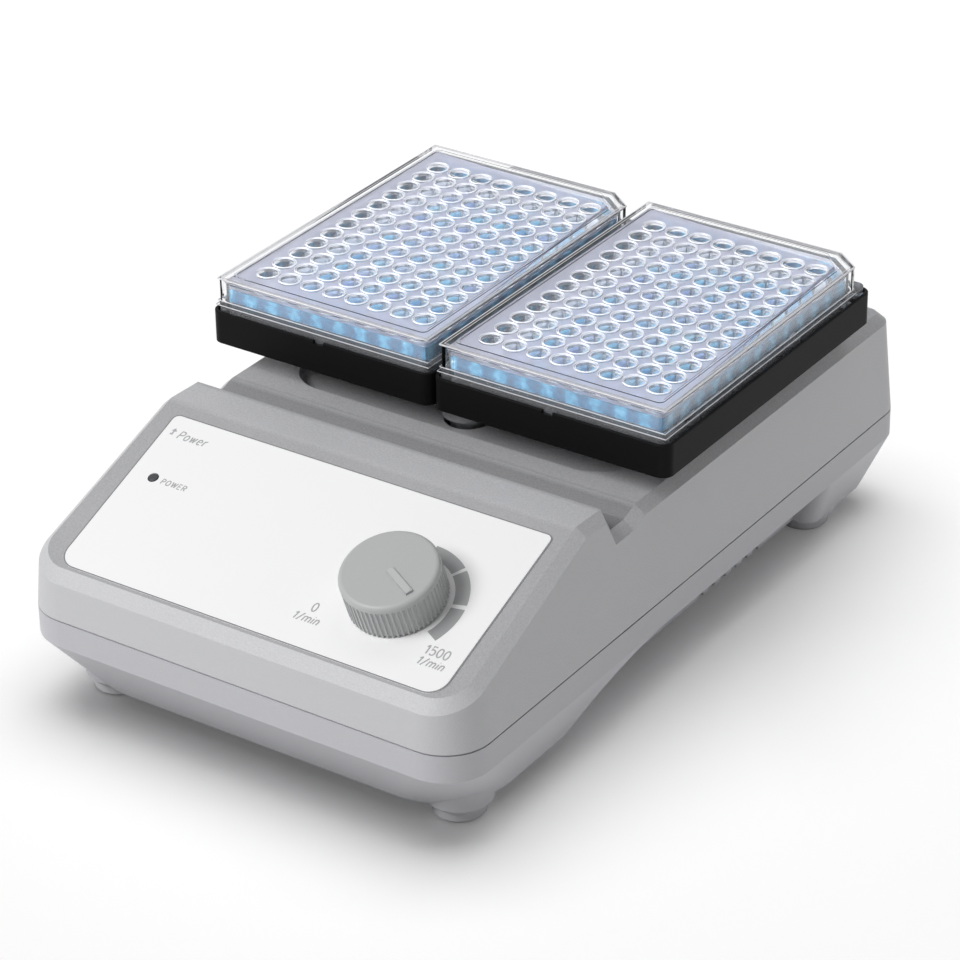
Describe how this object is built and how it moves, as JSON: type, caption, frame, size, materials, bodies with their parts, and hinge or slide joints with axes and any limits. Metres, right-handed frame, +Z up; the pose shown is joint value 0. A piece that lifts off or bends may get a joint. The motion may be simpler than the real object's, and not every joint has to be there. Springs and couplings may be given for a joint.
{
  "type": "orbital microplate shaker",
  "caption": "Bench orbital shaker: sloping control panel with speed dial, orbiting trays on a crank and idlers, lidded well plates, and a rear power entry",
  "frame": {"origin": "on the table, at the middle of the whole object's footprint, level with the bottom of the feet", "axes": "+X to the right seen from the control panel, +Y towards the back with the power entry, +Z up"},
  "size_m": [0.1774, 0.272, 0.1058],
  "materials": {
    "housing": "satin, fine grained silver grey",
    "lower_housing": "satin, fine grained silver grey",
    "rubber": "matte black",
    "screw": "zinc plated",
    "chassis": "as rolled",
    "motor_can": "satin black",
    "lamination": "stacked sheet",
    "copper": "enamelled wire",
    "steel": "ground",
    "weight": "turned",
    "bearing": "polished",
    "bush": "sintered bronze",
    "platform": "milled",
    "tray": "satin black",
    "plate": "clear moulded polystyrene",
    "lid": "clear moulded polystyrene",
    "sample": "blue liquid",
    "label": "printed film",
    "lamp": "translucent",
    "board": "solder resist",
    "capacitor": "sleeved",
    "sink": "anodised",
    "pot": "moulded",
    "knob": "satin grey",
    "black_plastic": "moulded",
    "switch": "moulded",
    "fuse": "clear"
  },
  "bodies": {
    "base": {"upper_housing": "housing", "lower_housing": "lower_housing", "control_label": "label", "power_lamp": "lamp", "rubber_feet": "rubber", "foot_screws": "screw", "housing_screws": "screw", "chassis_plate": "chassis", "chassis_screws": "screw", "motor_housing": "motor_can", "motor_stator": "lamination", "motor_winding": "copper", "motor_bearings": "bearing", "motor_screws": "screw", "idler_bushes": "bush", "control_board": "board", "board_screws": "screw", "board_capacitors": "capacitor", "heat_sink": "sink", "speed_potentiometer": "pot", "potentiometer_nut": "steel", "transformer_bracket": "chassis", "transformer_screws": "screw", "transformer_core": "lamination", "transformer_winding": "copper", "power_inlet": "black_plastic", "inlet_pins": "steel", "inlet_screws": "screw", "switch_bezel": "switch"},
    "crank": {"motor_shaft": "steel", "motor_rotor": "lamination", "eccentric_crank": "steel", "counterweight": "weight", "crank_set_screw": "screw", "bearing_inner_ring": "bearing", "bearing_balls": "bearing", "journal_screw": "screw"},
    "front_idler": {"front_idler_crank": "steel"},
    "left_idler": {"left_idler_crank": "steel"},
    "right_idler": {"right_idler_crank": "steel"},
    "platform": {"bearing_outer_ring": "bearing", "platform": "platform", "platform_bushes": "bush", "left_tray": "tray", "right_tray": "tray", "tray_screws": "screw"},
    "left_plate": {"left_well_plate": "plate", "left_samples": "sample"},
    "left_lid": {"left_plate_lid": "lid"},
    "right_plate": {"right_well_plate": "plate", "right_samples": "sample"},
    "right_lid": {"right_plate_lid": "lid"},
    "knob": {"speed_knob": "knob", "potentiometer_shaft": "steel"},
    "rocker": {"switch_rocker": "switch"},
    "fuse_holder": {"fuse_drawer": "black_plastic", "fuses": "fuse"}
  },
  "joints": [
    {"name": "drive_spin", "type": "hinge", "parent": "base", "child": "crank", "pos_m": [0, 0.0403, 0.047], "axis": [0, 0, 1], "continuous": true},
    {"name": "platform_orbit", "type": "hinge", "parent": "crank", "child": "platform", "pos_m": [0, 0.0388, 0.07], "axis": [0, 0, 1], "continuous": true},
    {"name": "front_idler_spin", "type": "hinge", "parent": "base", "child": "front_idler", "pos_m": [0, -0.0057, 0.047], "axis": [0, 0, 1], "continuous": true},
    {"name": "left_idler_spin", "type": "hinge", "parent": "base", "child": "left_idler", "pos_m": [-0.044, 0.0803, 0.047], "axis": [0, 0, 1], "continuous": true},
    {"name": "right_idler_spin", "type": "hinge", "parent": "base", "child": "right_idler", "pos_m": [0.044, 0.0803, 0.047], "axis": [0, 0, 1], "continuous": true},
    {"name": "left_plate_lift", "type": "slide", "parent": "platform", "child": "left_plate", "axis": [0, 0, 1], "range_m": [0, 0.04]},
    {"name": "left_lid_lift", "type": "slide", "parent": "left_plate", "child": "left_lid", "axis": [0, 0, 1], "range_m": [0, 0.03]},
    {"name": "right_plate_lift", "type": "slide", "parent": "platform", "child": "right_plate", "axis": [0, 0, 1], "range_m": [0, 0.04]},
    {"name": "right_lid_lift", "type": "slide", "parent": "right_plate", "child": "right_lid", "axis": [0, 0, 1], "range_m": [0, 0.03]},
    {"name": "knob_turn", "type": "hinge", "parent": "base", "child": "knob", "pos_m": [0.0413, -0.104, 0.06398], "axis": [0, -0.3584, 0.9336], "range_deg": [0, 234]},
    {"name": "switch_toggle", "type": "hinge", "parent": "base", "child": "rocker", "pos_m": [-0.0525, 0.1322, 0.053], "axis": [-1, 0, 0], "range_deg": [-16, 0]},
    {"name": "fuse_drawer_slide", "type": "slide", "parent": "base", "child": "fuse_holder", "axis": [0, 1, 0], "range_m": [0, 0.016]}
  ],
  "couplings": [
    {"joint": "platform_orbit", "follows": "drive_spin", "ratio": -1},
    {"joint": "front_idler_spin", "follows": "drive_spin", "ratio": 1},
    {"joint": "left_idler_spin", "follows": "drive_spin", "ratio": 1},
    {"joint": "right_idler_spin", "follows": "drive_spin", "ratio": 1}
  ]
}
